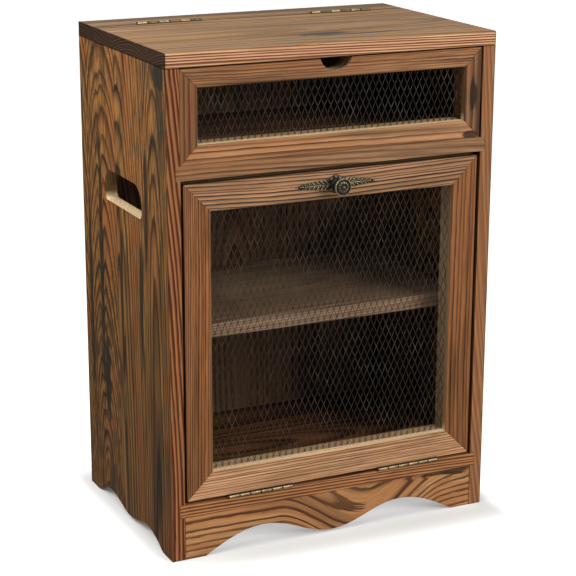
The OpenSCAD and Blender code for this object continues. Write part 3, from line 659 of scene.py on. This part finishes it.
# %% [markdown]
# New shapes are worked out as whole arrays of points. A tube is a closed section carried along a line:
# one helper turns a grid of points (rings by places on a ring) into a closed skin with capped ends.

# %% Tubes and new pieces


def tube_faces(rings, around, first=0):
    """Faces of a closed tube: quads between neighbouring rings, and one cap at each end.

    Point j of ring i is number first + i * around + j, and the places on a ring go round (modulo).
    """
    i, j = np.meshgrid(np.arange(rings - 1), np.arange(around), indexing="ij")
    k = (j + 1) % around
    quads = np.stack([i * around + j, i * around + k, (i + 1) * around + k, (i + 1) * around + j], -1)
    faces = (quads.reshape(-1, 4) + first).tolist()
    start, end = list(range(around)), list(range((rings - 1) * around, rings * around))
    return faces + [[first + n for n in reversed(start)], [first + n for n in end]]


def new_piece(name, points, faces, material, body, stands_for=(), smooth=True, marks=None):
    """A mesh of the given points (metres) and faces that rides on a body and wears one material."""
    mesh = bpy.data.meshes.new(name)
    mesh.from_pydata(np.asarray(points).reshape(-1, 3).tolist(), [], faces)
    mesh.polygons.foreach_set("use_smooth", [smooth] * len(mesh.polygons))
    for key, values in (marks or {}).items():
        layer = mesh.attributes.new(key, "FLOAT", "POINT")
        layer.data.foreach_set("value", np.asarray(values, float).ravel())
    mesh.materials.append(material)
    mesh.validate()
    piece = bpy.data.objects.new(name, mesh)
    bpy.context.scene.collection.objects.link(piece)
    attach(piece, body)
    if stands_for:
        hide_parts(*stands_for)
    print(name, len(mesh.vertices), "points")
    return piece


print("a square tube of 3 rings has", len(tube_faces(3, 4)), "faces")

# %% [markdown]
# The nets are expanded metal: a steel sheet is slit in rows and pulled, so that each strand runs up in
# a wave and touches its left and right neighbour in turn. The part has them with wide openings, to
# stay light. Here they get the real ones, about 8 by 17 mm. First comes the metal: blackening leaves it
# a dull dark grey, which is barer and browner in clouds about 17 mm wide.

# %% Blackened steel


def blackened_steel():
    """Mild steel sheet, slit, stretched and blackened: dull dark grey, with barer edges here and there."""
    material, tree, shader, place = new_material("blackened expanded steel")
    cloud = add(tree, "TexNoise", place, 60.0, 3.0)
    colour = add(tree, "ValToRGB", cloud, stops=[(0.3, "#141210"), (0.55, "#28241f"), (0.75, "#4a433a")])
    tree.links.new(colour, shader.inputs["Base Color"])
    shader.inputs["Metallic"].default_value = 0.6
    shader.inputs["Roughness"].default_value = 0.45
    return material


steel = blackened_steel()
print("nets:", steel.name)

# %% [markdown]
# A strand is a flat ribbon, and it tips a little at every bond, which is what makes such a net glitter.
# Solid boxes along the strands would need thousands of objects, so all strands of a net are one array:
# a four-sided section carried up each wave.

# %% The two nets


def expanded_net(name, node, body, cell=(7.9, 17.2), strand=0.6, sheet=0.45, out_of_plane=0.16, tilt=24):
    """Expanded metal inside a node's box. Sizes in mm, tilt in degrees.

    Strand number k stands at half a cell times k. Its sideways wave is a triangle that would reach 1.16
    but is cut at 1, so that neighbours lie side by side over a short bond and part in straight lines.
    The section is turned by tilt times the wave.
    """
    low, high = (np.array(v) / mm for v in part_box(node))
    count = int((high[0] - low[0]) / (cell[0] / 2))
    steps = int((high[2] - low[2]) / (cell[1] / 12))
    k = np.arange(count)[:, None]
    z = np.linspace(low[2] + 0.2, high[2] - 0.2, steps)[None, :]
    wave = np.clip(0.74 * np.arcsin(np.cos(2 * np.pi * (z - low[2]) / cell[1])), -1, 1)
    side = np.where(k % 2, 1, -1)
    swing = (cell[0] / 2 - strand) / 2
    first = (low[0] + high[0]) / 2 - (count - 1) * cell[0] / 4
    x = first + k * cell[0] / 2 + side * swing * wave
    y = (low[1] + high[1]) / 2 + side * out_of_plane * wave + 0 * z
    tip = np.radians(tilt) * side * wave
    section = np.array([(-1, -1), (1, -1), (1, 1), (-1, 1)]) * [strand / 2, sheet / 2]
    across = section[:, 0] * np.cos(tip)[..., None] - section[:, 1] * np.sin(tip)[..., None]
    out = section[:, 0] * np.sin(tip)[..., None] + section[:, 1] * np.cos(tip)[..., None]
    points = np.stack([x[..., None] + across, y[..., None] + out, z[..., None] + 0 * out], -1) * mm
    starts = (np.arange(count) * steps * 4)[:, None, None]
    faces = (np.array(tube_faces(steps, 4))[None] + starts).reshape(-1, 4).tolist()
    return new_piece(name, points, faces, steel, body, [node], smooth=False)


expanded_net("window_net", "window_mesh", "cabinet")
expanded_net("door_net", "door_mesh", "door")

# %% [markdown]
# The hinges, screws and pins are the CAD's own solids. Small metal is never of one tone: what is touched
# is bright and smooth, and what is not is dull. One cloud pattern, with patches about 5 mm wide, drives
# both the colour and the roughness.

# %% Screws, pins and the catch


def rubbed_metal(name, dark, bright, rough, metallic=1.0):
    """Metal whose colour wanders between a dull and a rubbed tone; rough comes from the same cloud."""
    material, tree, shader, place = new_material(name)
    cloud = add(tree, "TexNoise", place, 180.0, 4.0, 0.6)
    colour = add(tree, "ValToRGB", cloud, stops=[(0.35, dark), (0.65, bright)])
    tree.links.new(colour, shader.inputs["Base Color"])
    spread = add(tree, "MapRange", cloud, 0.0, 1.0, rough + 0.15, rough - 0.1)
    tree.links.new(spread, shader.inputs["Roughness"])
    shader.inputs["Metallic"].default_value = metallic
    return material


brass = rubbed_metal("lacquered stamped brass", "#5c4a28", "#b39a5e", 0.4)
dark_pin = rubbed_metal("hinge pin steel", "#4a4438", "#8a8068", 0.4)
zinc = rubbed_metal("bright zinc plated steel", "#9a9a96", "#c8c8c4", 0.32)
brown_plastic = rubbed_metal("moulded brown plastic", "#3a2a20", "#4a382c", 0.45, metallic=0.0)
print("small parts:", ", ".join(m.name for m in (brass, dark_pin, zinc, brown_plastic)))

# %% [markdown]
# Each hinge has six knuckles rolled round its pin. Brass that was stamped and lacquered long ago is
# yellow where fingers rub it and brown in the corners. The slits between the knuckles are a few tenths
# of a millimetre wide, so their shade is painted in dark brown, a little wider, by a pattern that counts
# steps along the pin. The roll also gets a painted highlight on the side that the room sees, and painted
# shade on its other sides.

# %% Hinge brass
HINGE, KNUCKLES = 0.080, 6  # length of a hinge in metres, and the knuckles along it


def knuckle_brass(name, pin, seen, wear):
    """Brass for one hinge: painted shade in the knuckle slits and on the roll's sides, and a painted
    highlight.

    The slits stand at equal steps along the pin. seen is the direction that the roll shows to the
    room, as an angle about X from -Y towards +Z: a painted highlight makes the roll bright where the
    room can see it.
    wear, from 0 to 1, is how far fingers have rubbed the brass bare.
    """
    material, tree, shader, place = new_material(name)
    centre = (np.array(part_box(pin)[0]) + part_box(pin)[1]) / 2
    parts = add(tree, "SeparateXYZ", place).node.outputs
    x, y, z = (add(tree, "Math ADD", parts[n], -centre[n]) for n in range(3))
    # painted shade: the slits between the knuckles go dark, drawn wider than they are
    step = add(tree, "Math FRACT", add(tree, "Math MULTIPLY_ADD", x, KNUCKLES / HINGE, 0.5))
    slit = add(tree, "Math ABSOLUTE", add(tree, "Math ADD", step, -0.5))
    slit = add(tree, "MapRange", slit, 0.04, 0.08)
    # painted highlight on the band of the roll that faces the room; the rest of the roll gets painted shade
    side = add(tree, "Math MULTIPLY_ADD", y, math.sin(seen), add(tree, "Math MULTIPLY", z, math.cos(seen)))
    side = add(tree, "MapRange", add(tree, "Math ABSOLUTE", side), 1.7 * mm, 0.7 * mm)
    away = add(tree, "VectorMath LENGTH", add(tree, "CombineXYZ", 0.0, y, z))
    leaf_part = add(tree, "MapRange", away, 2.5 * mm, 3.0 * mm)
    cloud = add(tree, "TexNoise", place, 260.0, 3.0)
    lit_and_rubbed = add(tree, "Math MULTIPLY", slit, add(tree, "Math MAXIMUM", side, leaf_part))
    lit_and_rubbed = add(tree, "Math MULTIPLY", add(tree, "Math MULTIPLY", lit_and_rubbed, wear), cloud)
    colour = add(tree, "ValToRGB", lit_and_rubbed, stops=[(0.05, "#1d150c"), (0.3, "#6b5a3c"), (0.6, "#ab9c78")])
    tree.links.new(colour, shader.inputs["Base Color"])
    shader.inputs["Metallic"].default_value = 0.8
    shader.inputs["Roughness"].default_value = 0.45
    return material


def plain_finish(nodes, material, edge=0.0):
    """Give several small CAD nodes one material."""
    for node in nodes:
        finish_board(node, material, edge)


for joint, seen in (("door", 0.0), ("lid", 0.8)):
    for hand in ("left", "right"):
        stem = f"{joint}_hinge_{hand}"
        for leaf_node in [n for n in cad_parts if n.startswith(stem) and n.endswith("leaf")]:
            wear = 0.45 if leaf_node.endswith("lid_leaf") else 0.85
            hinge_brass = knuckle_brass("brass, " + leaf_node.replace("_", " "), stem + "_pin", seen, wear)
            plain_finish([leaf_node], hinge_brass)
dowel_wood = pine("strip_dowels", PALE, axes=(0, 2, 1), seed=60.0, ring=2.0, pith=(0, 20))
plain_finish([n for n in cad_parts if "hinge" in n and "pin" in n], dark_pin)
plain_finish([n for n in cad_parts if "hinge" in n and "screws" in n], brass)
plain_finish(["catch_screws", "strike_plate", "strike_screw", "catch_magnet", "knob_screw"], zinc)
plain_finish(["catch_housing"], brown_plastic, 0.4)
plain_finish(["strip_dowels", "apron_dowels"], dowel_wood)
print("hinges, screws, catch and dowels")

# %% [markdown]
# The knob and its plate are small zinc castings, plated and browned like old bronze. A browned casting
# is nearly black in its hollows and rubbed bright on its high places. A pattern in space can't know which
# is which, so each point of the two pieces keeps how far it stands out, and the finish reads that.

# %% Antique bronze


def antique_bronze():
    """Browned plating: almost black in the hollows, pewter on whatever a hand rubs."""
    material, tree, shader, place = new_material("browned antique bronze")
    worn = add(tree, "Attribute", out=2, attribute_name="proud")
    cloud = add(tree, "TexNoise", place, 400.0, 3.0)
    worn = add(tree, "Math MULTIPLY_ADD", cloud, 0.4, add(tree, "Math SUBTRACT", worn, 0.2))
    stops = [(0.25, "#0e0c0a"), (0.55, "#2c2619"), (0.8, "#6e634a"), (1.0, "#a89a7a")]
    tree.links.new(add(tree, "ValToRGB", worn, stops=stops), shader.inputs["Base Color"])
    shader.inputs["Metallic"].default_value = 0.8
    shader.inputs["Roughness"].default_value = 0.4
    return material


bronze = antique_bronze()
print("knob and plate:", bronze.name)

# %% [markdown]
# The knob has a neck, a flared head with a beaded rim, a groove, a petalled dome and a button. It is one
# profile turned about its axis, and the beads and petals are waves that the profile carries round.

# %% The knob


def turned_knob():
    """A profile turned about Y, with waves of beads and petals.

    Each row of the profile says how far out of the plate it is, its radius, and how far it stands
    proud, all as shares. At the angle t a bead dips by 1 - |cos 14t| and a petal by 1 - |cos 6t|.
    """
    low, high = (np.array(v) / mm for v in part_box("knob"))
    centre = (low + high) / 2
    span, head = high[1] - low[1], (high[0] - low[0]) / 2
    foot = [(0, 0.66, 0.3), (0.02, 0.7, 0.5), (0.08, 0.66, 0.4), (0.14, 0.46, 0.2)]
    neck = [(0.3, 0.36, 0.1), (0.46, 0.38, 0.2), (0.56, 0.52, 0.3), (0.64, 0.74, 0.5)]
    rim = [(0.7, 0.9, 0.7), (0.76, 0.98, 0.9), (0.82, 1.0, 1.0), (0.86, 0.98, 1.0), (0.88, 0.92, 0.9)]
    groove = [(0.86, 0.85, 0.4), (0.83, 0.8, 0), (0.83, 0.74, 0)]
    dome = [(0.87, 0.7, 0.5), (0.91, 0.6, 0.75), (0.93, 0.48, 0.75), (0.92, 0.38, 0.5), (0.89, 0.3, 0)]
    button = [(0.9, 0.24, 0.1), (0.95, 0.2, 0.6), (0.99, 0.12, 0.65), (1.0, 0.004, 0.65)]
    reach, wide, proud = np.array(foot + neck + rim + groove + dome + button).T
    bead = np.interp(wide, [0.7, 0.8, 0.95, 1.0], [0, 0.2, 1, 1]) * (reach > 0.7)
    petal = np.interp(wide, [0.3, 0.4, 0.6, 0.72], [0, 1, 1, 0]) * (reach > 0.86)
    turn = np.linspace(0, 2 * np.pi, 168, endpoint=False)
    bead_dip = bead[:, None] * (1 - np.abs(np.cos(14 * turn)))
    petal_dip = petal[:, None] * (1 - np.abs(np.cos(6 * turn)))
    radius = head * wide[:, None] * (1 - 0.045 * bead_dip)
    x, z = centre[0] + radius * np.cos(turn), centre[2] + radius * np.sin(turn)
    y = high[1] - span * reach[:, None] + 0.45 * petal_dip + 0.25 * bead_dip
    points = np.stack([x, y, z], -1) * mm
    marks = {"proud": proud[:, None] - 0.5 * bead_dip - 0.5 * petal_dip}
    faces = tube_faces(len(reach), len(turn))
    return new_piece("turned_knob", points, faces, bronze, "door", ["knob"], marks=marks)


turned_knob()

# %% [markdown]
# The plate behind the knob is a cast spray of leaves that reaches out on both sides from a round
# boss. One leaf is a lens-shaped section carried along a bent midline, wide in the middle and blunt at
# both ends. Pairs of leaves grow along a stem and get smaller towards its tip, with a small ball where
# two leaves part. Below them lies a thin black sheet with a scalloped edge: painted shade for the
# hollows between the leaves.

# %% The leafy plate


def leaf(base, angle, length, width, height, bend, steps=9, around=8):
    """Points of one leaf on the XZ plane: its midline turns by bend degrees from base to tip."""
    along = np.linspace(0, 1, steps)
    heading = np.radians(angle + bend * along)
    step = length / (steps - 1)
    x = base[0] + np.concatenate([[0], np.cumsum(np.cos(heading[:-1]) * step)])
    z = base[1] + np.concatenate([[0], np.cumsum(np.sin(heading[:-1]) * step)])
    half = width / 2 * np.maximum(np.sin(np.pi * along**0.9) ** 0.6, 0.05)
    turn = np.linspace(0, 2 * np.pi, around, endpoint=False)
    side = half[:, None] * np.cos(turn)
    rise = height * (0.5 + 0.5 * np.sin(np.pi * along))[:, None] * np.maximum(np.sin(turn), -0.2)
    px = x[:, None] - side * np.sin(heading)[:, None]
    pz = z[:, None] + side * np.cos(heading)[:, None]
    proud = 0.1 + 0.85 * np.maximum(np.sin(turn), 0)[None, :] ** 2 * np.ones((steps, 1))
    return np.stack([px, rise, pz], -1), proud


def painted_shade_sheet(reach, steps=181):
    """Painted shade between the leaves: a thin black sheet.

    Its half height falls from the boss to the tips and swells at each leaf.
    """
    x = np.linspace(-1, 1, steps)
    half = np.interp(np.abs(x), [0, 0.24, 0.34, 0.75, 0.9, 1], [6.5, 6.2, 5.2, 4.2, 2.2, 0.3])
    half = half * (1 - 0.22 * np.abs(np.cos(np.pi * 6.5 * x)) * (np.abs(x) > 0.25))
    section = np.array([(1, 0), (0.9, 0.45), (0, 0.55), (-0.9, 0.45), (-1, 0), (0, -0.05)])
    z = half[:, None] * section[:, 0]
    # proud 0 makes the sheet near black in the bronze: painted shade between the leaves
    return np.stack([reach * x[:, None] + 0 * z, 0 * z + section[:, 1], z], -1), 0 * z


def boss(radius, height, rings=12, around=64):
    """Points of a round boss with eight petals, from its rim over a domed top to its middle."""
    share = np.linspace(0, 1, rings)[:, None]
    turn = np.linspace(0, 2 * np.pi, around, endpoint=False)[None, :]
    petal = np.abs(np.cos(4 * turn))
    flute = petal * np.sin(np.pi * share)
    wide = radius * np.cos(share * np.pi / 2 * 0.97) * (1 - 0.08 * (1 - petal) * (1 - share))
    rise = height * (np.sin(share * np.pi / 2) * 0.75 + 0.25 * flute)
    return np.stack([wide * np.cos(turn), rise, wide * np.sin(turn)], -1), 0.15 + 0.55 * flute


def leafy_plate():
    """Both halves of the spray: the black sheet of painted shade, stem, paired leaves, balls and tip
    leaf, and the boss.
    """
    low, high = (np.array(v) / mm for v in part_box("knob_plate"))
    centre, face = (low + high) / 2, high[1]
    reach, tall = (high[0] - low[0]) / 2, (high[2] - low[2]) / 2
    leaves = []
    for share in np.linspace(0.2, 0.74, 6):
        size = 1 - 0.5 * (share - 0.2) / 0.54
        for up in (-1, 1):
            start = (reach * share, up * 0.5)
            leaves.append(leaf(start, up * 62, 8.2 * size, 2.7 * size, 1.35, -up * 34))
            leaves.append(leaf((start[0] + 2.6, up * 0.5), up * 28, 4.6 * size, 1.5 * size, 1.4, up * 16))
            leaves.append(leaf((start[0] + 6.6 * size, up * 5.2 * size), 0, 1.6, 1.5, 1.2, 0, steps=6))
    leaves.append(leaf((reach * 0.1, 0), 0, reach * 0.78, 1.3, 1.4, 0, steps=24))
    leaves.append(leaf((reach * 0.82, 0), 0, reach * 0.18, 2.8, 1.4, 0))
    shapes = [painted_shade_sheet(reach - 1)]
    for shape, mark in leaves:
        shapes.append((shape, mark))
        shapes.append(((shape * [-1, 1, 1])[:, ::-1], mark[:, ::-1]))
    shapes.append(boss(tall, 1.4))
    faces, first = [], 0
    for shape, mark in shapes:
        faces += tube_faces(shape.shape[0], shape.shape[1], first)
        first += shape.shape[0] * shape.shape[1]
    points = np.concatenate([shape.reshape(-1, 3) for shape, mark in shapes]) * [1, -1, 1]
    points[:, 0] = np.clip(points[:, 0], -reach, reach) + centre[0]
    points[:, 1] = face + np.clip(points[:, 1], low[1] - high[1], 0)
    points[:, 2] = np.clip(points[:, 2], -tall, tall) + centre[2]
    proud = np.concatenate([mark.ravel() for shape, mark in shapes])
    return new_piece("leafy_plate", points * mm, faces, bronze, "door", ["knob_plate"],
                     marks={"proud": proud})


leafy_plate()
plain_finish(["knob_plate_pins"], bronze)
